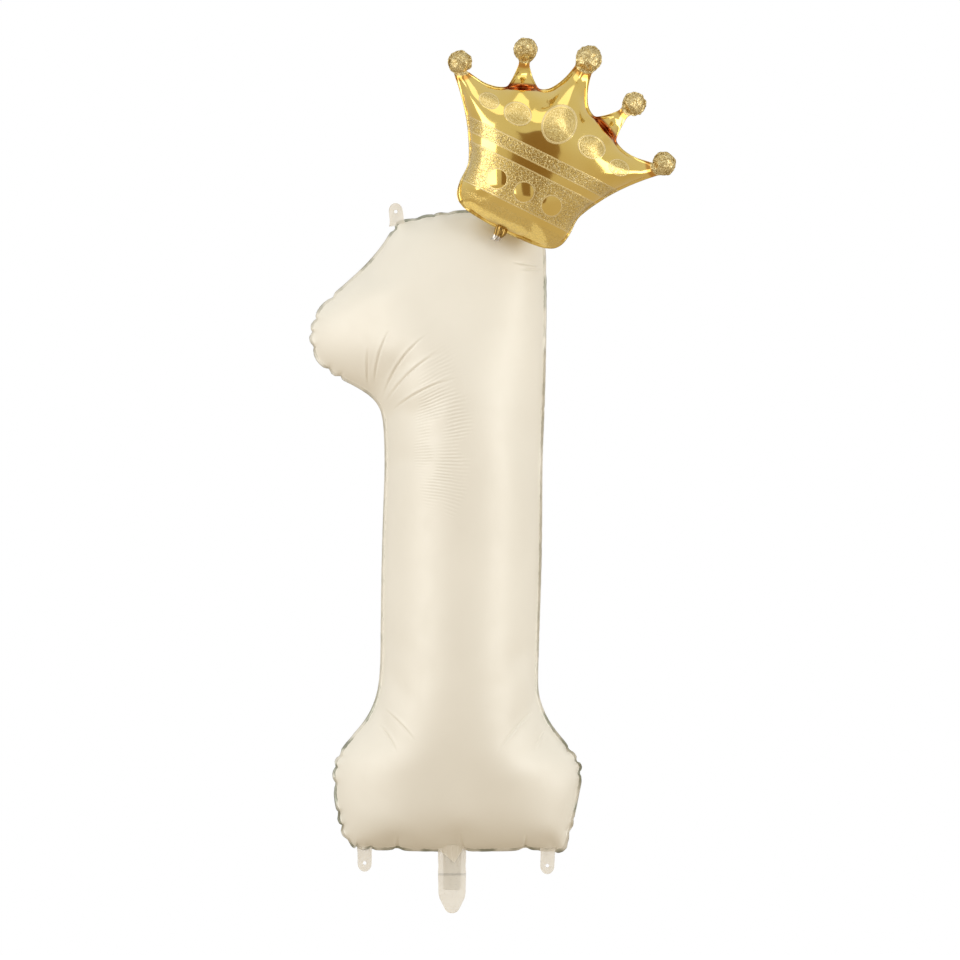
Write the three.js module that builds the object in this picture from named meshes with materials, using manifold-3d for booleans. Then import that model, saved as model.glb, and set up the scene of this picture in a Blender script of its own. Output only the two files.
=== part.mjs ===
// Foil number balloon: an inflated figure 1 with a smaller crown balloon stuck to its top corner.
// Each balloon is a front and a back film welded round their rims. A flat filling tail hangs from each
// bottom edge with a two-ply film valve inside, and punched tabs stand on the rim for ribbon.
// Millimetres, +Z up, front towards -Y. The origin is the middle of the figure's neck, where its
// filling tail leaves the bottom weld.
import * as THREE from "three";
import { mergeVertices } from "three/addons/utils/BufferGeometryUtils.js";
import Module from "manifold-3d";

const wasm = await Module();
wasm.setup();

// ---- driving dimensions ----
const FILM = 0.8; // thickness of each film
const GAP = 0.3; // between two films that lie on each other
const NUMBER_WELD = 5; // width of the flat welded rim
const CROWN_WELD = 3;
const VALVE_PLY = 0.4;
const NUMBER_TAIL = {
  width: 38, length: 80, roundLength: 34, valveWidth: 26, valveLow: -50, valveHigh: 50,
};
const CROWN_TAIL = {
  width: 19, length: 15, roundLength: 4, valveWidth: 12, valveLow: -12, valveHigh: 36,
};
const TAB_WIDTH = 19;
const TAB_LENGTH = 28;
const TAB_THICKNESS = 1.2;
const TAB_HOLE = 4.6; // diameter of the punched hole
const HINGE_GAP = 1; // from the rim to the root of a tab or tail
const CROWN_TILT = THREE.MathUtils.degToRad(26.4);
const CROWN_PLACE = new THREE.Vector3(72.5, -75, 836); // middle of the crown's bottom edge
const BALL_RADIUS = 16.7;
const MIDDLE_BALL_RADIUS = 18.5;
const GLUE_RADIUS = 8;
const GLUE_THICKNESS = 1.3;
// Where the crown's back comes closest to the figure's shoulder, and the way from crown to figure.
const GLUE_PLACE = new THREE.Vector3(96.3, -26.4, 841.6);
const GLUE_AXIS = new THREE.Vector3(-0.289, 0.704, -0.649).normalize();

// The figure's outer edges as [height, x] from the bottom edge to the top edge.
const LEFT_EDGE = [
  [0, -132], [8, -141], [20, -148], [40, -154], [66, -158], [92, -161], [112, -160],
  [130, -153], [152, -136], [178, -115], [208, -102], [245, -97], [310, -96], [380, -95],
  [450, -93], [510, -91], [560, -92], [588, -96], [605, -107], [620, -129], [638, -163],
  [658, -184], [685, -192], [710, -188], [734, -174], [760, -145], [790, -114], [820, -91],
  [843, -79], [850, -76],
];
const RIGHT_EDGE = [
  [0, 148], [20, 160], [50, 166], [80, 172], [104, 176], [122, 171], [147, 151],
  [170, 133], [195, 121], [222, 116], [300, 118], [400, 121], [520, 122], [600, 125],
  [690, 127], [780, 127], [828, 124], [850, 118],
];
const TOP_RISE = 10; // how far the middle of the top edge bows up
const CORNER_DROP = 7; // how far the top left corner is below the top edge's ends
const DROP_POWER = 12; // keeps that drop close to the top
const BOTTOM_SAG = 3;

// The crown's right half in its own frame, as [x, height] from the middle of its bottom edge.
const CROWN_BOTTOM = [[0, -7], [30, -6], [55, -3], [69, 3]];
const CROWN_SIDE = [
  [69, 3], [76, 12], [79, 26], [79, 48], [84, 64], [93, 81], [104, 99], [120, 120],
  [136, 138], [146, 147], [152, 156],
];
const CROWN_SHOULDER = [[147, 162], [136, 159], [115, 155], [94, 157], [77, 163]];
const SPIKE_OUTSIDE = [[77, 163], [78, 182], [80, 203], [84, 214]];
const SPIKE_INSIDE = [[75, 214], [69, 203], [57, 190], [42, 178]];
const CROWN_PEAK = [[42, 178], [30, 184], [21, 196], [15, 211], [12, 229], [9, 240]];
const SIDE_BALL = new THREE.Vector2(152, 167); // ball centres
const SPIKE_BALL = new THREE.Vector2(81, 221);
const MIDDLE_BALL = new THREE.Vector2(0, 248);

// ---- meshes to solids and back ----
const solidOf = (geometry) => {
  const bare = geometry.clone();
  bare.deleteAttribute("normal");
  bare.deleteAttribute("uv");
  const merged = mergeVertices(bare, 1e-4);
  return new wasm.Manifold(
    new wasm.Mesh({
      numProp: 3,
      vertProperties: new Float32Array(merged.attributes.position.array),
      triVerts: new Uint32Array(merged.index.array),
    }),
  );
};

const geometryOf = (solid) => {
  const mesh = solid.getMesh();
  const positions = new Float32Array(mesh.numVert * 3);
  for (let i = 0; i < mesh.numVert; i++) {
    positions.set(mesh.vertProperties.subarray(i * mesh.numProp, i * mesh.numProp + 3), i * 3);
  }
  const geometry = new THREE.BufferGeometry()
    .setAttribute("position", new THREE.BufferAttribute(positions, 3))
    .setIndex(new THREE.BufferAttribute(new Uint32Array(mesh.triVerts), 1));
  geometry.computeVertexNormals();
  return geometry;
};

const boxSolid = (low, high) => {
  const size = high.clone().sub(low);
  const middle = low.clone().add(high).multiplyScalar(0.5);
  return solidOf(
    new THREE.BoxGeometry(size.x, size.y, size.z).translate(middle.x, middle.y, middle.z),
  );
};

// ---- inflated films ----

// x at a height, on a smooth curve through an edge's points.
const edgeAt = (edge) => {
  const curve = new THREE.CubicInterpolant(
    edge.map(([height]) => height),
    edge.map(([, x]) => x),
    1,
  );
  return (height) => curve.evaluate(height)[0];
};

// From 0 to 1, crowded towards both ends.
const crowded = (t) => (1 - Math.cos(Math.PI * t)) / 2;

// count + 1 points along a smooth curve through a list of points.
const along = (points, count, spread = (t) => t) => {
  const curve = new THREE.SplineCurve(points.map(([x, z]) => new THREE.Vector2(x, z)));
  return Array.from({ length: count + 1 }, (_, i) => curve.getPointAt(spread(i / count)));
};

// The figure's grid of points, row by row from the bottom, crowded towards its edges.
const numberGrid = (columns) => {
  const left = edgeAt(LEFT_EDGE);
  const right = edgeAt(RIGHT_EDGE);
  const heights = LEFT_EDGE.map(([height]) => height);
  const top = heights.at(-1);
  return heights.map((height) =>
    Array.from({ length: columns + 1 }, (_, i) => {
      const across = crowded(i / columns);
      const bow = Math.sin(Math.PI * across);
      const share = height / top;
      return new THREE.Vector2(
        THREE.MathUtils.lerp(left(height) + NUMBER_WELD, right(height) - NUMBER_WELD, across),
        NUMBER_WELD + share * (top - 2 * NUMBER_WELD) +
          bow * THREE.MathUtils.lerp(-BOTTOM_SAG, TOP_RISE, share) -
          CORNER_DROP * share ** DROP_POWER * (1 - across) ** 2,
      );
    }),
  );
};

// A patch of points between four edges: bottom and top have the same count, as have left and right.
const patch = (bottom, top, left, right) =>
  left.map((leftPoint, j) => {
    const s = crowded(j / (left.length - 1));
    return bottom.map((bottomPoint, i) => {
      const u = i / (bottom.length - 1);
      const corners = new THREE.Vector2()
        .addScaledVector(bottom[0], (1 - u) * (1 - s))
        .addScaledVector(bottom.at(-1), u * (1 - s))
        .addScaledVector(top[0], (1 - u) * s)
        .addScaledVector(top.at(-1), u * s);
      return new THREE.Vector2()
        .addScaledVector(bottomPoint, 1 - s)
        .addScaledVector(top[i], s)
        .addScaledVector(leftPoint, 1 - u)
        .addScaledVector(right[j], u)
        .sub(corners);
    });
  });

const mirrored = (points) => points.map((p) => new THREE.Vector2(-p.x, p.y)).reverse();

const CROWN_ROWS = 9;
const crownGrid = () => {
  const side = along(CROWN_SIDE, CROWN_ROWS, crowded);
  const halfTop = [
    ...along(CROWN_SHOULDER, 4), ...along(SPIKE_OUTSIDE, 2).slice(1), ...along(SPIKE_INSIDE, 3),
    ...along(CROWN_PEAK, 4).slice(1),
  ].reverse();
  halfTop[halfTop.length - 1].copy(side.at(-1));
  halfTop.unshift(new THREE.Vector2(0, halfTop[0].y));
  const halfBottom = along(CROWN_BOTTOM, halfTop.length - 1);
  const bottom = [...mirrored(halfBottom), ...halfBottom.slice(1)];
  const top = [...mirrored(halfTop), ...halfTop.slice(1)];
  return patch(bottom, top, mirrored(side).reverse(), side);
};

// Triangles of a grid as node numbers, wound to face +Y when x runs along a row and z along a column.
const gridTriangles = (rows, columns) => {
  const triangles = [];
  for (let j = 0; j + 1 < rows; j++) {
    for (let i = 0; i + 1 < columns; i++) {
      const a = j * columns + i;
      triangles.push([a, a + columns, a + 1], [a + 1, a + columns, a + columns + 1]);
    }
  }
  return triangles;
};

// Half the depth of two sheets welded round a rim: the root of twice a membrane's deflection,
// which is a circle across a long tube. free(node) is true where the sheets aren't welded.
const inflate = (points, triangles, free) => {
  const links = points.map(() => new Map());
  const load = points.map(() => 0);
  const link = (a, b, weight) => {
    links[a].set(b, (links[a].get(b) ?? 0) + weight);
    links[b].set(a, (links[b].get(a) ?? 0) + weight);
  };
  for (const [a, b, c] of triangles) {
    for (const [p, q, r] of [[a, b, c], [b, c, a], [c, a, b]]) {
      const toP = points[p].clone().sub(points[r]);
      const toQ = points[q].clone().sub(points[r]);
      const cross = Math.abs(toP.cross(toQ));
      link(p, q, toP.dot(toQ) / cross / 2);
      load[p] += cross / 6;
    }
  }
  const deflection = points.map(() => 0);
  const sweeps = 1500;
  for (let sweep = 0; sweep < sweeps; sweep++) {
    points.forEach((_, node) => {
      if (!free(node)) return;
      let pull = load[node];
      let total = 0;
      for (const [other, weight] of links[node]) {
        pull += weight * deflection[other];
        total += weight;
      }
      deflection[node] = pull / total;
    });
  }
  return deflection.map((d) => Math.sqrt(2 * Math.max(d, 0)));
};

// The rim of a grid in order, anticlockwise when x points right and z up.
const rimOf = (rows, columns) => {
  const rim = [];
  for (let i = 0; i < columns; i++) rim.push(i);
  for (let j = 1; j < rows; j++) rim.push(j * columns + columns - 1);
  for (let i = columns - 2; i >= 0; i--) rim.push((rows - 1) * columns + i);
  for (let j = rows - 2; j > 0; j--) rim.push(j * columns);
  return rim;
};

// One film as a closed solid, standing on the plane y = 0 and bulging towards +Y: the dome over the
// grid, and round it a flat welded rim.
const filmSolid = (grid, weld) => {
  const columns = grid[0].length;
  const points = grid.flat();
  const triangles = gridTriangles(grid.length, columns);
  const rim = rimOf(grid.length, columns);
  const welded = new Set(rim);
  const depth = inflate(points, triangles, (node) => !welded.has(node));
  const places = points.map((p, node) => new THREE.Vector3(p.x, GAP / 2 + depth[node], p.y));
  const outside = rim.map((node, k) => {
    const before = points[rim[(k + rim.length - 1) % rim.length]];
    const after = points[rim[(k + 1) % rim.length]];
    const out = new THREE.Vector2(after.y - before.y, before.x - after.x).normalize();
    const own = points[node].clone().addScaledVector(out, weld);
    return new THREE.Vector3(own.x, places[node].y, own.y);
  });
  const first = places.length;
  places.push(...outside);
  rim.forEach((node, k) => {
    const next = (k + 1) % rim.length;
    triangles.push([node, rim[next], first + k], [rim[next], first + next, first + k]);
  });
  return thickened(places, triangles, first);
};

// The sheet of triangles grown by FILM along its normals into a closed solid. Nodes from rimStart
// on are the sheet's rim, in order, and grow straight along +Y.
const thickened = (places, triangles, rimStart) => {
  const normals = places.map(() => new THREE.Vector3());
  for (const [a, b, c] of triangles) {
    const ab = places[b].clone().sub(places[a]);
    const ac = places[c].clone().sub(places[a]);
    const normal = ab.cross(ac);
    for (const node of [a, b, c]) normals[node].add(normal);
  }
  const grown = places.map((p, node) => {
    const normal = node >= rimStart ? new THREE.Vector3(0, 1, 0) : normals[node].normalize();
    return p.clone().addScaledVector(normal, FILM);
  });
  const count = places.length;
  const faces = [];
  for (const [a, b, c] of triangles) faces.push(a + count, b + count, c + count, c, b, a);
  for (let k = rimStart; k < count; k++) {
    const next = k + 1 < count ? k + 1 : rimStart;
    faces.push(next, k, k + count, next, k + count, next + count);
  }
  const geometry = new THREE.BufferGeometry()
    .setFromPoints([...places, ...grown])
    .setIndex(faces);
  return solidOf(geometry);
};

// The same film on the other side of y = 0.
const turnedOver = (solid) => solid.mirror([0, 1, 0]);

// Half of a hollow ball at each centre, opening into the film.
const HALF_SPACE = 400;
const BEHIND_WELD = boxSolid(
  new THREE.Vector3(-HALF_SPACE, GAP / 2, -HALF_SPACE),
  new THREE.Vector3(HALF_SPACE, HALF_SPACE, HALF_SPACE),
);
const sphere = (radius, centre) =>
  solidOf(
    new THREE.SphereGeometry(radius, 10, 8).rotateX(Math.PI / 2).translate(centre.x, 0, centre.y),
  );

const withBalls = (film, balls) => {
  let made = film;
  for (const { centre, radius } of balls) {
    made = made.add(sphere(radius, centre).intersect(BEHIND_WELD));
  }
  for (const { centre, radius } of balls) made = made.subtract(sphere(radius - FILM, centre));
  return made;
};

// ---- flat pieces ----

// A flat piece of the outline, with its thickness centred on y, from an outline in x and z.
const plate = (shape, thickness, y) =>
  new THREE.ExtrudeGeometry(shape, { depth: thickness, bevelEnabled: false, curveSegments: 8 })
    .rotateX(Math.PI / 2)
    .translate(0, y + thickness / 2, 0);

// A strip that hangs from the line z = 0 and ends in a half ellipse.
const hangingStrip = (width, length, roundLength, rootWidth = width) => {
  const shape = new THREE.Shape();
  shape.moveTo(-rootWidth / 2, 0);
  shape.lineTo(-width / 2, -Math.max(0, rootWidth - width));
  shape.lineTo(-width / 2, -(length - roundLength));
  shape.absellipse(0, -(length - roundLength), width / 2, roundLength, Math.PI, 2 * Math.PI, false);
  shape.lineTo(width / 2, -Math.max(0, rootWidth - width));
  shape.lineTo(rootWidth / 2, 0);
  return shape;
};

const tabGeometry = () => {
  const shape = hangingStrip(TAB_WIDTH, TAB_LENGTH, TAB_WIDTH / 2, TAB_WIDTH + 5);
  const hole = new THREE.Path();
  hole.absarc(0, -(TAB_LENGTH - TAB_WIDTH / 2), TAB_HOLE / 2, 0, 2 * Math.PI, true);
  shape.holes.push(hole);
  return plate(shape, TAB_THICKNESS, 0);
};

const rectangle = (width, low, high) => {
  const shape = new THREE.Shape();
  shape.moveTo(-width / 2, low);
  shape.lineTo(width / 2, low);
  shape.lineTo(width / 2, high);
  shape.lineTo(-width / 2, high);
  return shape;
};

// ---- materials ----
const CREAM = new THREE.MeshStandardMaterial({ color: 0xefe6d4, roughness: 0.42, metalness: 0.1 });
const GOLD = new THREE.MeshStandardMaterial({ color: 0xe0b040, roughness: 0.16, metalness: 1 });
const CLEAR = new THREE.MeshStandardMaterial({ color: 0xe8e8e0, roughness: 0.3, metalness: 0 });
const GLUE = new THREE.MeshStandardMaterial({ color: 0xe6e9ea, roughness: 0.2, metalness: 0 });

const named = (name, geometry, material) => {
  const mesh = new THREE.Mesh(geometry, material);
  mesh.name = name;
  return mesh;
};

// ---- the figure ----
const NUMBER_COLUMNS = 10;
const NECK_OPENING = {
  halfWidth: NUMBER_TAIL.width / 2 + HINGE_GAP, halfDepth: 10,
  low: -2 * NUMBER_WELD, high: NUMBER_WELD + 1,
};

// Cuts the way for the valve through the bottom weld.
const openedAtNeck = (film, { halfWidth, halfDepth, low, high }) =>
  film.subtract(
    boxSolid(
      new THREE.Vector3(-halfWidth, -halfDepth, low),
      new THREE.Vector3(halfWidth, halfDepth, high),
    ),
  );

const numberBalloon = () => {
  const back = openedAtNeck(filmSolid(numberGrid(NUMBER_COLUMNS), NUMBER_WELD), NECK_OPENING);
  return [
    named("number_front_film", geometryOf(turnedOver(back)), CREAM),
    named("number_back_film", geometryOf(back), CREAM),
  ];
};

// A flat tail of two films with the two plies of a valve between them, hanging from z = 0.
const fillingTail = (prefix, size, material) => {
  const film = hangingStrip(size.width, size.length, size.roundLength);
  const valve = rectangle(size.valveWidth, size.valveLow, size.valveHigh);
  const plyY = (GAP + VALVE_PLY) / 2;
  const filmY = VALVE_PLY + GAP * 1.5 + FILM / 2;
  return [
    named(`${prefix}_tail_front_film`, plate(film, FILM, -filmY), material),
    named(`${prefix}_tail_back_film`, plate(film, FILM, filmY), material),
    named(`${prefix}_valve_front_ply`, plate(valve, VALVE_PLY, -plyY), CLEAR),
    named(`${prefix}_valve_back_ply`, plate(valve, VALVE_PLY, plyY), CLEAR),
  ];
};

const numberTail = () => {
  const group = new THREE.Group();
  group.position.z = -BOTTOM_SAG - HINGE_GAP;
  group.add(...fillingTail("number", NUMBER_TAIL, CREAM));
  return group;
};

// Each hanging tab: where its root meets the rim, and how far its free end is turned from down.
const TABS = [
  { name: "tab_bottom_left", x: -117, z: -2, turn: 0 },
  { name: "tab_bottom_right", x: 128, z: -4, turn: 0 },
  { name: "tab_top_left", x: -74, z: 845, turn: 168 },
];
const numberTabs = () =>
  TABS.map(({ name, x, z, turn }) => {
    const tab = named(name, tabGeometry(), CREAM);
    tab.rotation.y = THREE.MathUtils.degToRad(turn);
    tab.position.set(x, 0, z);
    return tab;
  });

// ---- the crown ----
const CROWN_FOOT = CROWN_BOTTOM[0][1];
const CROWN_OPENING = {
  halfWidth: CROWN_TAIL.width / 2 + HINGE_GAP, halfDepth: 8,
  low: CROWN_FOOT - 2 * CROWN_WELD, high: CROWN_FOOT + 1,
};

const crownFilms = () => {
  const balls = [SIDE_BALL, SPIKE_BALL].flatMap((centre) => [
    { centre, radius: BALL_RADIUS },
    { centre: new THREE.Vector2(-centre.x, centre.y), radius: BALL_RADIUS },
  ]);
  balls.push({ centre: MIDDLE_BALL, radius: MIDDLE_BALL_RADIUS });
  const film = withBalls(filmSolid(crownGrid(), CROWN_WELD), balls);
  const back = openedAtNeck(film, CROWN_OPENING);
  return [
    named("crown_front_film", geometryOf(turnedOver(back)), GOLD),
    named("crown_back_film", geometryOf(back), GOLD),
  ];
};

const crownTail = () => {
  const group = new THREE.Group();
  group.position.z = CROWN_FOOT - CROWN_WELD - HINGE_GAP;
  group.add(...fillingTail("crown", CROWN_TAIL, GOLD));
  return group;
};

const crownBalloon = () => {
  const group = new THREE.Group();
  group.position.copy(CROWN_PLACE);
  group.rotation.y = CROWN_TILT;
  group.add(...crownFilms(), crownTail());
  return group;
};

const glueDot = () => {
  const disc = new THREE.CylinderGeometry(GLUE_RADIUS, GLUE_RADIUS, GLUE_THICKNESS, 24);
  const dot = named("glue_dot", disc, GLUE);
  dot.quaternion.setFromUnitVectors(new THREE.Vector3(0, 1, 0), GLUE_AXIS);
  dot.position.copy(GLUE_PLACE);
  return dot;
};

const balloon = new THREE.Group();
balloon.add(...numberBalloon(), numberTail(), ...numberTabs(), crownBalloon(), glueDot());

export default balloon;
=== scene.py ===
"""Looks of the foil number balloon: a satin cream figure 1 and a gold crown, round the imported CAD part.

Both balloons are made as the real ones are. A flat bag of two films is cut, filled by a cloth
simulation, and its cut is corrected on a coarse copy until the filled rim lands on the CAD outline.
Metres, +Z up, front towards -Y, in the CAD part's own frame.
"""
import math

import bmesh
import bpy
import numpy as np
from mathutils import Matrix, Vector, geometry, kdtree, noise


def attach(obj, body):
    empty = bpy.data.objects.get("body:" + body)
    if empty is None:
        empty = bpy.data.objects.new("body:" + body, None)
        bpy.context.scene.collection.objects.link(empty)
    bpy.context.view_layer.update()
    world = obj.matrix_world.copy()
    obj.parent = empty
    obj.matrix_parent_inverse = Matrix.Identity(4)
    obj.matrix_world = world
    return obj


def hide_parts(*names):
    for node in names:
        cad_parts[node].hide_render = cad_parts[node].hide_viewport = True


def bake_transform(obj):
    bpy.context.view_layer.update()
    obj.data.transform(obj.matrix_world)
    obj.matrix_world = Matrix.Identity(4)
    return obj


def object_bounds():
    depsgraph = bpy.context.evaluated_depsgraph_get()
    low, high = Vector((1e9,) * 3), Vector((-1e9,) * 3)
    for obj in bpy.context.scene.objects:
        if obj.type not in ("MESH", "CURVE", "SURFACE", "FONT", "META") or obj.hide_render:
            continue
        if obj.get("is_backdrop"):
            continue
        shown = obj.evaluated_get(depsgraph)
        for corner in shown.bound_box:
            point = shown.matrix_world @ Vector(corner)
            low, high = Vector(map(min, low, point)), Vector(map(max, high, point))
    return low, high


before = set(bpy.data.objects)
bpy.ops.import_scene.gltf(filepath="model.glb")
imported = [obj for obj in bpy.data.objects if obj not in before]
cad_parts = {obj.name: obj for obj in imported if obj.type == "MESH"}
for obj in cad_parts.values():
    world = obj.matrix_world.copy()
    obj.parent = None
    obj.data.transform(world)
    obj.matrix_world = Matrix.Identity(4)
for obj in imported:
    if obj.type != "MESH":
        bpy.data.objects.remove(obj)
cad_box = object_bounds()

# ---- sizes shared with the CAD part ----
MM = 0.001
NUMBER_WELD = 5 * MM  # width of the flat welded rim
CROWN_WELD = 3 * MM
CROWN_TILT = math.radians(26.4)
CROWN_PLACE = Vector((0.0725, -0.075, 0.836))  # middle of the crown's bottom edge

# The figure's outer edges in mm as (height, x), from the bottom edge to the top edge.
LEFT_EDGE = [
    (0, -132), (8, -141), (20, -148), (40, -154), (66, -158), (92, -161), (112, -160),
    (130, -153), (152, -136), (178, -115), (208, -102), (245, -97), (310, -96), (380, -95),
    (450, -93), (510, -91), (560, -92), (588, -96), (605, -107), (620, -129), (638, -163),
    (658, -184), (685, -192), (710, -188), (734, -174), (760, -145), (790, -114), (820, -91),
    (843, -79), (850, -76),
]
RIGHT_EDGE = [
    (0, 148), (20, 160), (50, 166), (80, 172), (104, 176), (122, 171), (147, 151),
    (170, 133), (195, 121), (222, 116), (300, 118), (400, 121), (520, 122), (600, 125),
    (690, 127), (780, 127), (828, 124), (850, 118),
]
TOP_RISE = 10
CORNER_DROP = 7  # how far the top left corner is below the right one
DROP_POWER = 12
BOTTOM_SAG = 3

# The crown's right half in mm in its own frame, as (x, height) from the middle of its bottom edge.
CROWN_BOTTOM = [(0, -10), (30, -9), (57, -6), (72, 0)]
CROWN_SIDE = [
    (72, 0), (79, 10), (82, 26), (82, 48), (87, 62), (96, 79), (107, 97), (122, 117),
    (138, 135), (150, 147),
]
CROWN_SHOULDER = [(141, 162), (128, 160), (112, 158), (95, 160), (81, 166)]
SPIKE_OUTSIDE = [(81, 166), (80, 182), (81, 203)]
SPIKE_INSIDE = [(67, 205), (56, 193), (42, 182)]
CROWN_PEAK = [(42, 182), (31, 188), (23, 199), (17, 213), (13, 229)]
BALL_RADIUS = 16.7
MIDDLE_BALL_RADIUS = 18.5
SIDE_BALL = (152, 167)
SPIKE_BALL = (81, 221)
MIDDLE_BALL = (0, 248)


# ---- outlines ----

def smooth_path(points, step):
    """Points about a step apart on a smooth curve through the given ones."""
    p = np.array([points[0], *points, points[-1]], float)
    out = []
    for a, b, c, d in zip(p, p[1:], p[2:], p[3:]):
        count = max(1, int(round(np.hypot(*(c - b)) / step)))
        for t in np.arange(count) / count:
            out.append(
                0.5 * (2 * b + (c - a) * t + (2 * a - 5 * b + 4 * c - d) * t * t
                       + (3 * b - a - 3 * c + d) * t ** 3)
            )
    return out + [p[-1]]


def ball_arc(centre, radius, start, end, step):
    """Anticlockwise round a ball from the point start to the point end, in mm."""
    first = math.atan2(start[1] - centre[1], start[0] - centre[0])
    last = math.atan2(end[1] - centre[1], end[0] - centre[0])
    if last < first:
        last += 2 * math.pi
    count = max(4, int(radius * (last - first) / step))
    angles = np.linspace(first, last, count)[1:-1]
    return [(centre[0] + radius * math.cos(a), centre[1] + radius * math.sin(a)) for a in angles]


def evenly(loop, step):
    """A closed loop resampled to points a step apart."""
    closed = np.vstack([loop, loop[:1]])
    length = np.concatenate([[0], np.cumsum(np.hypot(*np.diff(closed, axis=0).T))])
    at = np.linspace(0, length[-1], int(round(length[-1] / step)), endpoint=False)
    return np.stack([np.interp(at, length, closed[:, k]) for k in (0, 1)], 1)


def softened(values, reach):
    """Values round a closed loop, each averaged with its neighbours up to reach places away."""
    kernel = np.hanning(2 * reach + 3)[1:-1]
    kernel /= kernel.sum()
    wrapped = np.concatenate([values[-reach:], values, values[:reach]])
    return np.stack([np.convolve(wrapped[:, k], kernel, "valid") for k in range(values.shape[1])], 1)


def outward(loop):
    """Unit normals of an anticlockwise loop, pointing out of it."""
    along = np.roll(loop, -1, 0) - np.roll(loop, 1, 0)
    along /= np.hypot(*along.T)[:, None]
    return np.stack([along[:, 1], -along[:, 0]], 1)


LOOP_STEP = 2  # mm between the points of a fine outline


def figure_outline():
    left = smooth_path(LEFT_EDGE, LOOP_STEP)
    right = smooth_path(RIGHT_EDGE, LOOP_STEP)
    x0, x1 = LEFT_EDGE[0][1], RIGHT_EDGE[0][1]
    top0, top1 = LEFT_EDGE[-1][1], RIGHT_EDGE[-1][1]
    top = LEFT_EDGE[-1][0]
    left = [(z - CORNER_DROP * (z / top) ** DROP_POWER, x) for z, x in left]
    shares = np.linspace(0, 1, 80)[1:-1]
    loop = [(x0 + (x1 - x0) * s, -BOTTOM_SAG * math.sin(math.pi * s)) for s in shares]
    loop += [(x, z) for z, x in right]
    loop += [
        (top1 + (top0 - top1) * s, top + TOP_RISE * math.sin(math.pi * s) - CORNER_DROP * s * s)
        for s in shares
    ]
    loop += [(x, z) for z, x in reversed(left)]
    return softened(evenly(np.array(loop), LOOP_STEP), 5)


def crown_outline():
    right = smooth_path(CROWN_BOTTOM, LOOP_STEP) + smooth_path(CROWN_SIDE, LOOP_STEP)[1:]
    right += ball_arc(SIDE_BALL, BALL_RADIUS, CROWN_SIDE[-1], CROWN_SHOULDER[0], LOOP_STEP)
    right += smooth_path(CROWN_SHOULDER, LOOP_STEP) + smooth_path(SPIKE_OUTSIDE, LOOP_STEP)[1:]
    right += ball_arc(SPIKE_BALL, BALL_RADIUS, SPIKE_OUTSIDE[-1], SPIKE_INSIDE[0], LOOP_STEP)
    right += smooth_path(SPIKE_INSIDE, LOOP_STEP) + smooth_path(CROWN_PEAK, LOOP_STEP)[1:]
    tip = (0, MIDDLE_BALL[1] + MIDDLE_BALL_RADIUS)
    right += ball_arc(MIDDLE_BALL, MIDDLE_BALL_RADIUS, CROWN_PEAK[-1], tip, LOOP_STEP) + [tip]
    left = [(-x, z) for x, z in reversed(right[1:-1])]
    return softened(evenly(np.array(right + left, float), LOOP_STEP), 1)


# ---- bags of film, cut flat and filled ----

def mesh_object(name, points, faces):
    mesh = bpy.data.meshes.new(name)
    mesh.from_pydata(points, [], faces)
    obj = bpy.data.objects.new(name, mesh)
    bpy.context.scene.collection.objects.link(obj)
    return obj


def inside(points, loop):
    """Which points are inside a closed loop, and how far each is from the loop."""
    crossings = np.zeros(len(points), bool)
    near = np.full(len(points), np.inf)
    for (ax, az), (bx, bz) in zip(loop, np.roll(loop, -1, 0)):
        if az != bz:
            spans = (np.minimum(az, bz) <= points[:, 1]) & (points[:, 1] < max(az, bz))
            crossings ^= spans & (points[:, 0] < ax + (points[:, 1] - az) / (bz - az) * (bx - ax))
        way = np.array([bx - ax, bz - az])
        offset = points - (ax, az)
        share = np.clip(offset @ way / (way @ way), 0, 1)
        near = np.minimum(near, np.hypot(*(offset - share[:, None] * way).T))
    return crossings, near


INSIDE_ONLY = 1  # geometry.delaunay_2d_cdt keeps only the triangles inside the rim
SAME_POINT = 1e-7
SCATTER = 0.18  # how far the film's points are off a regular grid, as a share of its step
SEED = 7


def triangulated(rim, step):
    """A flat film inside a rim: its points, with the rim's own first, and its triangles."""
    low, high = rim.min(0) - step, rim.max(0) + step
    row_gap = step * math.sqrt(3) / 2
    rows = []
    for j, z in enumerate(np.arange(low[1], high[1], row_gap)):
        x = np.arange(low[0], high[0], step) + (step / 2 if j % 2 else 0)
        rows.append(np.stack([x, np.full_like(x, z)], 1))
    points = np.concatenate(rows)
    points += np.random.default_rng(SEED).uniform(-SCATTER * step, SCATTER * step, points.shape)
    crossings, near = inside(points, rim)
    points = np.vstack([rim, points[crossings & (near > 0.6 * step)]])
    count = len(rim)
    edges = [(i, (i + 1) % count) for i in range(count)]
    made, _, faces, *_ = geometry.delaunay_2d_cdt(
        [Vector(p) for p in points], edges, [list(range(count))], INSIDE_ONLY, SAME_POINT
    )
    if len(made) != len(points):
        raise ValueError(f"the cut crosses itself: {len(made)} for {len(points)}")
    faces = np.array([list(f) for f in faces])
    a, b, c = (points[faces[:, k]] for k in range(3))
    turned = (b - a)[:, 0] * (c - a)[:, 1] - (b - a)[:, 1] * (c - a)[:, 0] < 0
    faces[turned] = faces[turned][:, ::-1]
    return points, faces


SHEET_GAP = 1 * MM  # between the two films before they're filled


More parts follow.
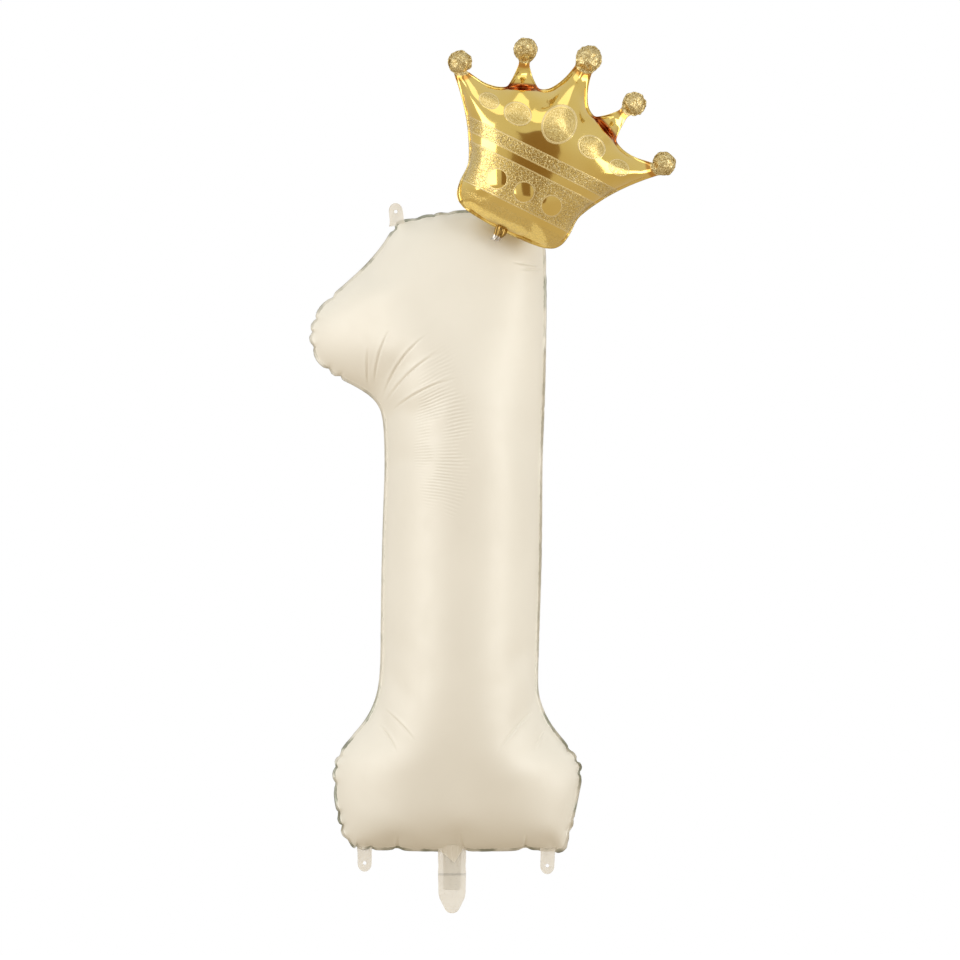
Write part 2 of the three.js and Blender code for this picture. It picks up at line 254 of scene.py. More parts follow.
class Bag:
    """Two films and the single welded strip round them, as numbered points."""

    def __init__(self, cut, step, weld):
        cut = softened(cut, 3)
        rims = int(len(cut) * LOOP_STEP * MM / step)
        self.rim = cut[np.round(np.linspace(0, len(cut), rims, endpoint=False)).astype(int)]
        self.flat, self.front = triangulated(self.rim, step)
        self.rims = len(self.rim)
        films = len(self.flat)
        inner = films - self.rims
        self.back_of = np.concatenate([np.arange(self.rims), films + np.arange(inner)])
        self.strip = films + inner
        edge = self.rim + weld * outward(self.rim)
        self.all_flat = np.vstack([self.flat, self.flat[self.rims:], edge])
        depth = np.zeros(len(self.all_flat))
        depth[self.rims:films] = -SHEET_GAP
        depth[films:self.strip] = SHEET_GAP
        self.start = np.stack([self.all_flat[:, 0], depth, self.all_flat[:, 1]], 1)

    def faces(self):
        back = self.back_of[self.front][:, ::-1]
        following = (np.arange(self.rims) + 1) % self.rims
        ring = [(i, self.strip + i, self.strip + n, n) for i, n in enumerate(following)]
        return [*map(tuple, self.front), *map(tuple, back), *ring]


FILM_CLOTH = {
    "quality": 6, "mass": 0.004, "air_damping": 3,
    "tension_stiffness": 60, "compression_stiffness": 5, "shear_stiffness": 8, "bending_stiffness": 0.05,
    "tension_damping": 10, "compression_damping": 10, "shear_damping": 10, "bending_damping": 0.5,
}


def as_cloth(obj, pressure, frames):
    """Makes an object a stiff, nearly weightless film that gas pushes out wherever it isn't welded."""
    cloth = obj.modifiers.new("Cloth", "CLOTH")
    settings = cloth.settings
    for name, value in FILM_CLOTH.items():
        setattr(settings, name, value)
    settings.use_pressure = True
    settings.uniform_pressure_force = pressure
    settings.vertex_group_pressure = "films"
    settings.effector_weights.gravity = 0
    cloth.collision_settings.use_collision = False
    cloth.point_cache.frame_start = 1
    cloth.point_cache.frame_end = frames + 1


def filled(bag, frames, pressure):
    """The bag's points after a cloth simulation has filled it."""
    obj = mesh_object("bag", bag.start.tolist(), [[int(i) for i in f] for f in bag.faces()])
    mesh = obj.data
    films = obj.vertex_groups.new(name="films")
    films.add(list(range(bag.strip)), 1.0, "REPLACE")
    as_cloth(obj, pressure, frames)
    scene = bpy.context.scene
    for number in range(1, frames + 1):
        scene.frame_set(number)
    shape = obj.evaluated_get(bpy.context.evaluated_depsgraph_get()).data
    places = np.empty(len(shape.vertices) * 3)
    shape.vertices.foreach_get("co", places)
    bpy.data.objects.remove(obj)
    bpy.data.meshes.remove(mesh)
    scene.frame_set(1)
    return places.reshape(-1, 3)


def looped(values, count):
    """Values round a loop at another number of evenly spaced places."""
    at = np.arange(count) * len(values) / count
    wrapped = np.vstack([values, values[:1]])
    steps = np.arange(len(wrapped))
    return np.stack([np.interp(at, steps, wrapped[:, k]) for k in range(values.shape[1])], 1)


def widths(loop):
    """How far it is straight across a closed loop from each of its points."""
    ways = -outward(softened(loop, 4))
    ends = np.roll(loop, -1, 0)
    edges = ends - loop
    found = []
    for place, way in zip(loop, ways):
        offset = loop - place
        cross = way[0] * edges[:, 1] - way[1] * edges[:, 0]
        cross[np.abs(cross) < 1e-12] = 1e-12
        far = (offset[:, 0] * edges[:, 1] - offset[:, 1] * edges[:, 0]) / cross
        share = (offset[:, 0] * way[1] - offset[:, 1] * way[0]) / cross
        hits = far[(share >= 0) & (share < 1) & (far > 4 * LOOP_STEP * MM)]
        found.append(hits.min() if len(hits) else 0)
    return np.array(found)


CUT_SHARE = 0.2  # a film is cut wider by this share of the filled width on each side


def make_bag(outline, weld, widest, coarse, fine, fits, frames, pressure, easing, relax=1.0):
    """A filled bag whose outer edge is the outline: the bag and its points.

    The cut is at most widest outside the seam. It is corrected fits times on a bag of coarse steps,
    each time by the share relax, and then filled once with fine steps and smoothed easing times.
    """
    seam = outline * MM - weld * outward(outline)
    grow = softened(np.minimum(CUT_SHARE * widths(seam), widest)[:, None], 8)
    cut = seam + grow * outward(softened(seam, 8))
    for _ in range(fits):
        trial = Bag(cut, coarse, weld)
        places = filled(trial, frames, pressure)
        off = looped(seam, trial.rims) - places[:trial.rims][:, [0, 2]]
        cut = cut + relax * looped(softened(off, max(1, int(0.03 / coarse))), len(cut))
    bag = Bag(cut, fine, weld)
    places = filled(bag, frames, pressure)
    places[:, [0, 2]] += spread_in(bag, looped(seam, bag.rims) - places[:bag.rims][:, [0, 2]])
    # Subdividing draws the outer edge in by a quarter of the weld, so it starts further out.
    places[bag.strip:, [0, 2]] = looped(outline * MM + weld / 3 * outward(outline), bag.rims)
    return bag, eased(bag, places, easing)


def eased(bag, places, rounds):
    """Each film point moved towards the middle of its neighbours, which takes out coarse crumples."""
    sides = np.vstack([bag.front, bag.back_of[bag.front]])
    a = sides.ravel()
    b = np.roll(sides, 1, 1).ravel()
    count = np.bincount(np.concatenate([a, b]), minlength=len(places))[:, None]
    rim_depth = softened(places[:bag.rims, 1:2], 3)[:, 0] - places[:bag.rims, 1]
    places[:bag.rims, 1] += rim_depth
    places[bag.strip:, 1] += rim_depth
    inner = slice(bag.rims, bag.strip)
    for _ in range(rounds):
        total = np.zeros_like(places)
        np.add.at(total, a, places[b])
        np.add.at(total, b, places[a])
        places[inner] += 0.6 * (total[inner] / count[inner] - places[inner])
    return places


def spread_in(bag, moves):
    """Moves of the rim carried into every point of the bag, the nearest rim points counting most."""
    total = np.zeros((len(bag.all_flat), 2))
    weight = np.zeros(len(bag.all_flat))
    for place, move in zip(bag.rim, moves):
        w = 1 / (((bag.all_flat - place) ** 2).sum(1) + 1e-6) ** 1.5
        total += w[:, None] * move
        weight += w
    return total / weight[:, None]


def lay_print(mesh):
    """Keeps where each point lies before it moves, in metres, as the UV map that the materials read."""
    layer = mesh.uv_layers.new(name="print")
    corners = np.empty(len(mesh.loops), int)
    mesh.loops.foreach_get("vertex_index", corners)
    places = np.array([v.co for v in mesh.vertices])
    layer.data.foreach_set("uv", places[corners][:, [0, 2]].ravel())


FILM_GAP = 0.3 * MM  # between the two films of the weld


def bag_object(name, bag, places):
    """The filled bag as one closed mesh: its weld becomes two films joined at their outer edge."""
    rims, strip = bag.rims, bag.strip
    seam, edge = places[:rims], places[strip:]
    across = np.cross(edge - seam, np.roll(seam, -1, 0) - np.roll(seam, 1, 0))
    across /= np.linalg.norm(across, axis=1)[:, None]
    points = np.vstack([places, seam + FILM_GAP * across])
    points[:rims] = seam - FILM_GAP * across
    back_seam = len(places) + np.arange(rims)
    back_of = bag.back_of.copy()
    back_of[:rims] = back_seam
    following = (np.arange(rims) + 1) % rims
    faces = [*map(tuple, bag.front), *map(tuple, back_of[bag.front][:, ::-1])]
    faces += [(i, strip + i, strip + n, n) for i, n in enumerate(following)]
    faces += [(back_seam[n], strip + n, strip + i, back_seam[i]) for i, n in enumerate(following)]
    obj = mesh_object(name, points.tolist(), [[int(i) for i in f] for f in faces])
    films = 2 * len(bag.front)
    obj.data.polygons.foreach_set("material_index", [int(k >= films) for k in range(len(faces))])
    lay_print(obj.data)
    return obj


def subdivided(obj):
    """Splits each face of an object in four, rounds it and shades it smooth."""
    sub = obj.modifiers.new("Subdivision", "SUBSURF")
    sub.levels = sub.render_levels = 1
    mesh = bpy.data.meshes.new_from_object(obj.evaluated_get(bpy.context.evaluated_depsgraph_get()))
    obj.modifiers.clear()
    obj.data = mesh
    mesh.shade_smooth()
    return obj


# Sharp creases in the figure's films in mm: start, end, and how far each bows to its left.
CREASES = [
    ((-103, 624), (-82, 698), 5), ((-92, 606), (-30, 692), 9), ((-80, 588), (8, 632), 6),
    ((-112, 622), (-112, 676), 1), ((-88, 600), (-14, 668), 7), ((-92, 190), (-50, 148), 2),
    ((-97, 168), (-74, 132), 2), ((107, 187), (60, 132), -2), ((125, 162), (110, 132), -2),
    ((124, 781), (80, 787), 0), ((123, 776), (92, 778), 0),
    ((15, 0), (12, 24), 0), ((98, 1), (99, 22), 0), ((-74, 0), (-71, 20), 0),
]
CREASE_WIDTH = 1.5 * MM
CREASE_DEPTH = 1.2 * MM
CREASE_REACH = 7 * MM  # how far beside a crease the film is split finer


def beside_creases(places):
    """For each crease, the share of its length and the distance to its left of every place."""
    for start, end, bow in CREASES:
        start, end = np.array(start) * MM, np.array(end) * MM
        way = end - start
        length = np.hypot(*way)
        way /= length
        offset = places[:, [0, 2]] - start
        share = offset @ way / length
        yield share, offset @ np.array([-way[1], way[0]]) - bow * MM * 4 * share * (1 - share)


def finer_at_creases(obj):
    """Splits the faces along the creases, which are narrower than a face of the film."""
    bm = bmesh.new()
    bm.from_mesh(obj.data)
    near = np.zeros(len(bm.verts), bool)
    for share, beside in beside_creases(np.array([v.co for v in bm.verts])):
        near |= (share > -0.05) & (share < 1.05) & (np.abs(beside) < CREASE_REACH)
    edges = [e for e in bm.edges if near[e.verts[0].index] and near[e.verts[1].index]]
    bmesh.ops.subdivide_edges(bm, edges=edges, cuts=2, use_grid_fill=True)
    bm.to_mesh(obj.data)
    bm.free()


def creased(obj):
    """Presses each crease in, with a low ridge along its left side."""
    finer_at_creases(obj)
    mesh = obj.data
    places = np.array([v.co for v in mesh.vertices])
    normals = np.array([v.normal for v in mesh.vertices])
    moves = np.zeros(len(places))
    for share, beside in beside_creases(places):
        fade = np.clip(4 * share, 0, 1) * np.clip(2.5 * (1 - share), 0, 1) * (share > 0) * (share < 1)
        valley = np.exp(-((beside / CREASE_WIDTH) ** 2))
        ridge = np.exp(-(((beside - 2 * CREASE_WIDTH) / (1.6 * CREASE_WIDTH)) ** 2))
        moves += CREASE_DEPTH * fade * (0.6 * ridge - valley)
    mesh.vertices.foreach_set("co", (places + moves[:, None] * normals).ravel())


SCALLOP_LENGTH = 27 * MM
SCALLOP_DEPTH = 4.2 * MM
SCALLOP_RADIUS = 230 * MM  # an edge bent at least this tightly is fully scalloped
NOTCHES = [(-74, 5.5), (15, 4), (98, 6)]  # x and depth in mm along the bottom edge
SAG_MIDDLE, SAG_DEPTH, SAG_WIDTH = 141, 6, 16  # the right corner hangs down to its tab, in mm


def scalloped(obj, outline):
    """Puckers the weld where the outline bulges, and notches the bottom edge."""
    normals = outward(outline)
    before, after = np.roll(normals, 6, 0), np.roll(normals, -6, 0)
    turning = before[:, 0] * after[:, 1] - before[:, 1] * after[:, 0]
    bend = np.clip(softened((turning / (12 * LOOP_STEP * MM))[:, None], 10)[:, 0] * SCALLOP_RADIUS, 0, 1)
    along = np.arange(len(outline)) * LOOP_STEP * MM / SCALLOP_LENGTH
    along = along + 0.25 * np.sin(along * 2.1)
    inward = SCALLOP_DEPTH * bend * (1 - np.abs(np.sin(math.pi * along))) ** 1.3
    sway = 0.5 * SCALLOP_DEPTH * bend * np.sin(2 * math.pi * along)
    low = np.clip(1.5 - outline[:, 1] / (10 * MM), 0, 1)
    for x, depth in NOTCHES:
        inward = inward + low * depth * MM * np.exp(-np.abs(outline[:, 0] - x * MM) / (5 * MM))
    off_corner = (outline[:, 0] - SAG_MIDDLE * MM) / (SAG_WIDTH * MM)
    inward = inward - low * SAG_DEPTH * MM * np.exp(-off_corner ** 2)
    tree = kdtree.KDTree(len(outline))
    for i, (x, z) in enumerate(outline):
        tree.insert((x, 0, z), i)
    tree.balance()
    for vertex in obj.data.vertices:
        _, i, off = tree.find((vertex.co.x, 0, vertex.co.z))
        if abs(vertex.co.y) < 30 * MM and off < 14 * MM:
            share = math.exp(-((off / (8 * MM)) ** 2))
            vertex.co.x -= normals[i, 0] * inward[i] * share
            vertex.co.z -= normals[i, 1] * inward[i] * share
            vertex.co.y += sway[i] * share


FIGURE_BAG = {
    "weld": NUMBER_WELD, "widest": 45 * MM, "coarse": 12 * MM, "fine": 6.5 * MM,
    "fits": 2, "frames": 26, "pressure": 40, "easing": 9,
}


def figure():
    outline = figure_outline()
    obj = subdivided(bag_object("figure_foil", *make_bag(outline, **FIGURE_BAG)))
    scalloped(obj, outline * MM)
    creased(obj)
    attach(obj, "number")
    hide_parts("number_front_film", "number_back_film")
    return obj


SPIKE_FOOT = ((84, 164), (40, 183))  # the right one's fold, in mm
FOLD_WIDTH = 2.6 * MM
FOLD_DEPTH = 0.45  # share of the depth left there


def spike_folds(obj):
    """Presses a sharp fold across the foot of the two spikes that stand behind the top edge."""
    start, end = (np.array(p) * MM for p in SPIKE_FOOT)
    way = end - start
    for vertex in obj.data.vertices:
        place = np.array((abs(vertex.co.x), vertex.co.z)) - start
        share = float(np.clip(place @ way / (way @ way), 0, 1))
        off = float(np.hypot(*(place - share * way)))
        vertex.co.y *= 1 - (1 - FOLD_DEPTH) * math.exp(-((off / FOLD_WIDTH) ** 2))


BALLS = [(SIDE_BALL, BALL_RADIUS), (SPIKE_BALL, BALL_RADIUS), (MIDDLE_BALL, MIDDLE_BALL_RADIUS)]


def round_balls(obj):
    """Fills the balls out to lenses about their own middle planes. The cloth is too coarse to do it."""
    mesh = obj.data
    mesh.update()
    places = np.array([v.co for v in mesh.vertices])
    faces_front = np.array([v.normal.y for v in mesh.vertices]) < 0
    for side in (-1, 1):
        for (x, z), radius in BALLS:
            off = places[:, [0, 2]] - (side * x * MM, z * MM)
            left = (radius * MM - CROWN_WELD) ** 2 - (off ** 2).sum(1)
            inner = left > 0
            plane = np.column_stack([off[inner], np.ones(inner.sum())])
            middle = plane @ np.linalg.lstsq(plane, places[inner, 1], rcond=None)[0]
            depth = np.maximum(np.abs(places[inner, 1] - middle), np.sqrt(left[inner] / 2))
            places[inner, 1] = middle + np.where(faces_front[inner], -depth, depth)
    mesh.vertices.foreach_set("co", places.ravel())
    mesh.update()


CRUMPLE = 1.7 * MM
CRUMPLE_SIZE = 6 * MM


def crumpled_balls(obj):
    """Crumples the film of the five balls, as film does when a small round is filled."""
    mesh = obj.data
    normals = [v.normal.copy() for v in mesh.vertices]
    for vertex, normal in zip(mesh.vertices, normals):
        for (x, z), radius in BALLS:
            off = math.hypot(abs(vertex.co.x) - x * MM, vertex.co.z - z * MM)
            share = min(1, max(0, (radius * 1.15 * MM - off) / (3 * MM)))
            if share > 0:
                at = vertex.co / CRUMPLE_SIZE
                dent = noise.noise(at) + 0.5 * noise.noise(at * 2.3)
                vertex.co += normal * (CRUMPLE * share * dent)


CROWN_BAG = {
    "weld": CROWN_WELD, "widest": 16 * MM, "coarse": 6 * MM, "fine": 3.8 * MM,
    "fits": 2, "frames": 24, "pressure": 60, "easing": 7, "relax": 0.8,
}


def crown():
    obj = subdivided(bag_object("crown_foil", *make_bag(crown_outline(), **CROWN_BAG)))
    spike_folds(obj)
    round_balls(obj)
    crumpled_balls(obj)
    obj.data.transform(crown_frame())
    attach(obj, "crown")
    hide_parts("crown_front_film", "crown_back_film")
    return obj


# ---- flat pieces of welded film ----

def two_films(name, rows, columns, place):
    """A closed sheet of two films. place(across, down, side) gives a point of the front or back film."""
    count = columns + 1
    films = [
        [place(2 * i / columns - 1, j / rows, side) for j in range(rows + 1) for i in range(count)]
        for side in (-1, 1)
    ]
    back = count * (rows + 1)
    faces = []
    for j in range(rows):
        for i in range(columns):
            a = j * count + i
            quad = (a, a + 1, a + count + 1, a + count)
            faces += [quad[::-1], tuple(back + k for k in quad)]
    top, bottom = list(range(count)), [rows * count + i for i in range(count)]
    left, right = [j * count for j in range(rows + 1)], [j * count + columns for j in range(rows + 1)]
    for line, turned in ((top, False), (bottom, True), (left, True), (right, False)):
        for a, b in zip(line, line[1:]):
            quad = (a, b, back + b, back + a)
            faces.append(quad[::-1] if turned else quad)
    obj = mesh_object(name, films[0] + films[1], faces)
    lay_print(obj.data)
    return subdivided(obj)


def bell(value, middle, width):
    return math.exp(-(((value - middle) / width) ** 2))


def step_down(value, start, end):
    """1 before start, 0 after end and smooth between."""
    t = min(1, max(0, (value - start) / (end - start)))
    return 1 - t * t * (3 - 2 * t)


# The figure's tail in mm: (height, half width) down its edge, and the pocket of body film that runs into it.
TAIL_EDGE = [(8, 19), (-14, 18.8), (-20, 18.2), (-30, 18.9), (-58, 18.2), (-64, 17), (-70, 14.2),
             (-76, 11.2), (-80.5, 8.8), (-83.3, 6), (-84.6, 2)]
TAIL_WELD = -31.6  # height of the crosswise weld that holds the valve
POCKET_TIP = (3, -16)
POCKET_MIDDLE = -1.5  # x at the pocket's mouth
POCKET_HALF = (1, 14.5)  # half width at the pocket's tip, and how much it grows to its mouth
POCKET_DEPTH = 14


def tail_half_width(height):
    edge = sorted(TAIL_EDGE)
    return float(np.interp(height, [h for h, _ in edge], [w for _, w in edge]))


def pocket(share):
    """The pocket's middle and half width in mm, a share of the way from its tip to its mouth."""
    middle = POCKET_TIP[0] * (1 - share) + POCKET_MIDDLE * share
    return middle, POCKET_HALF[0] + POCKET_HALF[1] * share


def tail_place(across, down, side):
    """A point of the tail: flat welded film, the gathered pocket above and the crosswise weld."""
    top, bottom = TAIL_EDGE[0][0], TAIL_EDGE[-1][0]
    height = top + (bottom - top) * (1 - (1 - down) ** 1.15)
    x = across * tail_half_width(height)
    edge = 1 - abs(across) ** 6
    depth = 0.75 + 0.5 * edge
    share = min(1, max(0, (height - POCKET_TIP[1]) / (top - POCKET_TIP[1])))
    middle, reach = pocket(share)
    depth += POCKET_DEPTH * share ** 1.2 * math.sqrt(max(0, 1 - ((x - middle) / reach) ** 2)) * edge
    gather = step_down(-height, 8, -TAIL_WELD) if height > TAIL_WELD else 0
    depth += 1.8 * gather * edge * max(0, math.cos(x * 0.9 + height * 0.08)) ** 3
    depth -= 1.0 * bell(x, middle + reach, 1.2) * min(1, 4 * share)
    depth += 0.7 * bell(height, TAIL_WELD - 1.2, 0.9) - 0.5 * bell(height, TAIL_WELD + 1, 0.9)
    bow = 1.2 * math.sin(across * 2.4 + height * 0.03) * (1 - share)
    return (x * MM, (side * depth + bow * edge) * MM, height * MM)


def in_pocket(place):
    """Whether a point of the tail is on the body film that runs down into it, to a point."""
    share = (place.z / MM - POCKET_TIP[1]) / -POCKET_TIP[1]
    middle, reach = pocket(share)
    return share > 0 and abs(place.x / MM - middle) < reach


def figure_tail():
    obj = two_films("figure_tail", 60, 28, tail_place)
    for face in obj.data.polygons:
        face.material_index = int(in_pocket(face.center))
    bends_with_figure_tail(obj)
    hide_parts("number_tail_front_film", "number_tail_back_film")
    return obj


VALVE_THICKNESS = 0.7  # mm over both plies


def flat_strip(name, width, low, high):
    """A plain two-ply strip of valve film in its own flat frame, in mm."""
    def place(across, down, side):
        height = high + (low - high) * down
        return (across * width / 2 * MM, side * VALVE_THICKNESS / 2 * MM, height * MM)
    return two_films(name, 12, 4, place)


def bends_with_figure_tail(obj):
    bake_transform(obj)


def figure_valve():
    obj = flat_strip("figure_valve", 24, -54, 44)
    bends_with_figure_tail(obj)
    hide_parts("number_valve_front_ply", "number_valve_back_ply")
    return obj


# Each tab: its body, the middle of its hole in mm, how far its root is from there under the rim,
# its free end's turn from straight down, and its curl.
TABS = [
    ("tab_bottom_left", "bottom_left_tab", (-117, 0, -17.4), 24, 0, 0.9),
    ("tab_bottom_right", "bottom_right_tab", (127.7, 0, -20.9), 25, 2, -0.7),
    ("tab_top_left", "top_left_tab", (-75.2, 0, 855.2), 19, 173, 0.8),
]
TAB_HALF = 9.5
TAB_TIP = 11.5  # mm from the middle of the hole to the tip
TAB_HOLE = 2.3
TAB_RINGS = 7  # rings of points from the hole to the edge
TAB_AROUND = 56  # points in each ring


def tab_point(side, share, angle, root, curl):
    """A point of a tab's front or back film, a share of the way from its hole to its edge."""
    if math.sin(angle) > 0:
        reach = min(TAB_HALF / max(1e-6, abs(math.cos(angle))), root / math.sin(angle))
    else:
        reach = 1 / math.hypot(math.cos(angle) / TAB_HALF, math.sin(angle) / TAB_TIP)
    radius = TAB_HOLE + (reach - TAB_HOLE) * share
    x = radius * math.cos(angle)
    down = root - radius * math.sin(angle)
    flare = 1 + 0.28 * math.exp(-down / 3)
    edge = min(1, 4 * min(share, 1 - share))
    y = side * (0.25 + 0.3 * edge) + curl * math.sin(down / 9) + 0.4 * math.sin(x / 3 + down / 5)
    return Vector((x * flare, y, root - down)) * MM


def tab_faces():
    """The faces of a tab: two films of rings, and walls between them at the hole and the edge."""
    faces = []
    per_side = TAB_AROUND * (TAB_RINGS + 1)
    for i in range(TAB_AROUND):
        n = (i + 1) % TAB_AROUND
        for first in range(0, TAB_RINGS * TAB_AROUND, TAB_AROUND):
            quad = (first + i, first + n, first + TAB_AROUND + n, first + TAB_AROUND + i)
            faces += [quad, tuple(per_side + q for q in quad[::-1])]
        for first in (0, TAB_RINGS * TAB_AROUND):
            quad = (first + i, per_side + first + i, per_side + first + n, first + n)
            faces.append(quad if first else quad[::-1])
    return faces


def tab(node, body, hole, root, turn, curl):
    """A rounded tab of welded film with a punched hole, as rings of points round the hole."""
    points = [
        tab_point(side, k / TAB_RINGS, 2 * math.pi * i / TAB_AROUND, root, curl)
        for side in (-1, 1)
        for k in range(TAB_RINGS + 1)
        for i in range(TAB_AROUND)
    ]
    place = Matrix.Translation(Vector(hole) * MM) @ Matrix.Rotation(math.radians(turn), 4, "Y")
    obj = mesh_object(f"{node}_foil", [place @ p for p in points], tab_faces())
    obj.data.shade_smooth()
    out = place.to_3x3() @ Vector((0, 0, -1))
    start = Vector(hole) * MM - out * 0.015
    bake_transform(obj)
    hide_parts(node)
    return obj


# ---- the crown's folded filling neck ----
NECK_TOP, NECK_END = -3, -25.5  # mm below the middle of the crown's bottom edge


def neck_place(across, down, side):
    """A point of the neck, which is gathered into folds that open towards its end."""
    height = NECK_TOP + (NECK_END - NECK_TOP) * down
    half = 6.6 + 1.6 * math.sin(down * 5.5) + 1.3 * down
    folds = math.cos(across * 7.5 + down * 2) + 0.5 * math.sin(across * 13 - down * 4)
    edge = 1 - abs(across) ** 4
    depth = 0.8 + edge * (1.5 + 3.2 * (1 - down) + 0.7 * folds)
    x = -5 + across * half + 2.2 * math.sin(down * 3)
    z = height + 1.4 * across * down - 0.8 * math.sin(across * 4) * down
    return (x * MM, side * depth * MM, z * MM)


def crown_frame():
    return Matrix.Translation(CROWN_PLACE) @ Matrix.Rotation(CROWN_TILT, 4, "Y")


def bends_with_crown_tail(obj):
    start, end = (crown_frame() @ Vector((0, 0, z)) for z in (-0.009, -0.017))
    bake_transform(obj)
    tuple(start)
    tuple(end)


def crown_neck():
    obj = two_films("crown_neck", 34, 30, neck_place)
    obj.data.transform(crown_frame())
    bends_with_crown_tail(obj)
    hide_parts("crown_tail_front_film", "crown_tail_back_film")
    return obj


def crown_valve():
    obj = flat_strip("crown_valve", 7, -20, 20)
    obj.data.transform(crown_frame() @ Matrix.Translation((-0.004, 0, 0)))
    bends_with_crown_tail(obj)
    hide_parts("crown_valve_front_ply", "crown_valve_back_ply")
    return obj


# ---- materials ----

class Nodes:
    """A short way to wire one material's nodes."""

    def __init__(self, name):
        self.material = bpy.data.materials.new(name)
        self.material.use_nodes = True
        self.tree = self.material.node_tree
        self.shader = self.tree.nodes["Principled BSDF"]

    def add(self, kind, **settings):
        node = self.tree.nodes.new(kind)
        for key, value in settings.items():
            setattr(node, key, value)
        return node

    def put(self, value, socket):
        if isinstance(value, bpy.types.NodeSocket):
            self.tree.links.new(value, socket)
        else:
            socket.default_value = value

    def set(self, **values):
        for key, value in values.items():
            self.put(value, self.shader.inputs[key.replace("_", " ")])

    def math(self, operation, a, b=0.0, clamp=False):
        node = self.add("ShaderNodeMath", operation=operation, use_clamp=clamp)
        for socket, value in zip(node.inputs, (a, b)):
            self.put(value, socket)
        return node.outputs[0]

    def times(self, a, b):
        return self.math("MULTIPLY", a, b)

    def mix(self, share, a, b):
        node = self.add("ShaderNodeMix", data_type="RGBA")
        self.put(share, node.inputs[0])
        self.put(a, node.inputs[6])
        self.put(b, node.inputs[7])
        return node.outputs[2]

    def texture(self, kind, at, scale, **settings):
        node = self.add(kind, **settings)
        self.put(at, node.inputs["Vector"])
        self.put(scale, node.inputs["Scale"])
        return node

    def noise(self, at, scale, detail=2.0, output=0):
        node = self.texture("ShaderNodeTexNoise", at, scale)
        self.put(detail, node.inputs["Detail"])
        return node.outputs[output]

    def patchy(self, at, scale, detail, low, high, to_low=0.0, to_high=1.0):
        """A value that goes from to_low to to_high where noise goes from low to high."""
        return self.ramped(self.noise(at, scale, detail), low, high, to_low, to_high)

    def cells(self, at, scale, feature="F1", output="Distance"):
        return self.texture("ShaderNodeTexVoronoi", at, scale, feature=feature).outputs[output]

    def between(self, value, low, high, soft):
        """1 where value is from low to high, falling to 0 over soft."""
        rise = self.ramped(value, low - soft / 2, low + soft / 2)
        fall = self.ramped(value, high - soft / 2, high + soft / 2)
        return self.math("SUBTRACT", rise, fall)

    def ramped(self, value, low, high, to_low=0.0, to_high=1.0):
        node = self.add("ShaderNodeMapRange")
        for socket, given in zip(node.inputs, (value, low, high, to_low, to_high)):
            self.put(given, socket)
        return node.outputs[0]

    def bump(self, height, distance, strength=1.0, under=None):
        node = self.add("ShaderNodeBump")
        for socket, value in (("Strength", strength), ("Distance", distance), ("Height", height)):
            self.put(value, node.inputs[socket])
        if under is not None:
            self.put(under, node.inputs["Normal"])
        return node.outputs[0]

    def most(self, values):
        total = values[0]
        for value in values[1:]:
            total = self.math("MAXIMUM", total, value)
        return total

    def length(self, x, y):
        squares = [self.times(value, value) for value in (x, y)]
        return self.math("SQRT", self.math("ADD", *squares))

    def oval(self, x, y, centre, half):
        """Distance from the middle of an oval given in mm, 1 on its outline."""
        across = self.math("DIVIDE", self.math("SUBTRACT", x, centre[0] * MM), half[0] * MM)
        up = self.math("DIVIDE", self.math("SUBTRACT", y, centre[1] * MM), half[1] * MM)
        return self.length(across, up)

    def place(self):
        return self.add("ShaderNodeTexCoord").outputs["Object"]

    def parts(self, vector):
        """The x, y and z of a vector."""
        node = self.add("ShaderNodeSeparateXYZ")
        self.put(vector, node.inputs[0])
        return node.outputs

    def printed(self):
        """The flat print's u and v in metres."""
        return self.parts(self.add("ShaderNodeUVMap", uv_map="print").outputs[0])[:2]


# Fine ripples run out from the armpit down the stem: the point they fan from, their middle and reach.
RIPPLE_FROM = (-250, 520)
RIPPLE_MIDDLE = (-12, 560)
RIPPLE_REACH = (42, 130)
RIPPLE_LENGTH = 4.4


def ripples(n):
    """Height of the stem's fine ripples, from the flat print's places."""
    u, v = n.printed()
    x = n.math("SUBTRACT", u, RIPPLE_FROM[0] * MM)
    z = n.math("SUBTRACT", v, RIPPLE_FROM[1] * MM)
    away = (RIPPLE_MIDDLE[0] - RIPPLE_FROM[0]) * MM
    waves = n.times(n.math("ARCTAN2", z, x), 2 * math.pi * away / (RIPPLE_LENGTH * MM))
    waves = n.math("ADD", waves, n.times(n.noise(n.place(), 22, 1), 9))
    off = n.oval(u, v, RIPPLE_MIDDLE, RIPPLE_REACH)
    faded = n.ramped(n.times(off, off), 1.0, 0.2)
    patch = n.times(faded, n.patchy(n.place(), 30, 1, 0.35, 0.6))
    return n.times(n.math("SINE", waves), patch)


def cream_film():
    """Satin cream print over foil, with fine ripples down the stem."""
    n = Nodes("cream_foil")
    at = n.place()
    slack = n.bump(n.noise(at, 70, 3), 0.0006, 0.15)
    rippled = n.bump(ripples(n), 0.0005, 0.42, slack)
    n.set(
        Base_Color=n.mix(n.patchy(at, 9, 3, 0.35, 0.65), (0.88, 0.848, 0.757, 1), (0.91, 0.878, 0.787, 1)),
        Roughness=n.patchy(at, 60, 4, 0.3, 0.7, 0.47, 0.57),
        Normal=n.bump(n.noise(at, 900, 2), 0.00008, 0.25, rippled),
    )
    n.set(Metallic=0.10, Coat_Weight=0.18, Coat_Roughness=0.36)
    return n.material


STEM_FOOT, STEM_HEAD = 200, 740  # between these heights in mm the rim lies flat and shows less


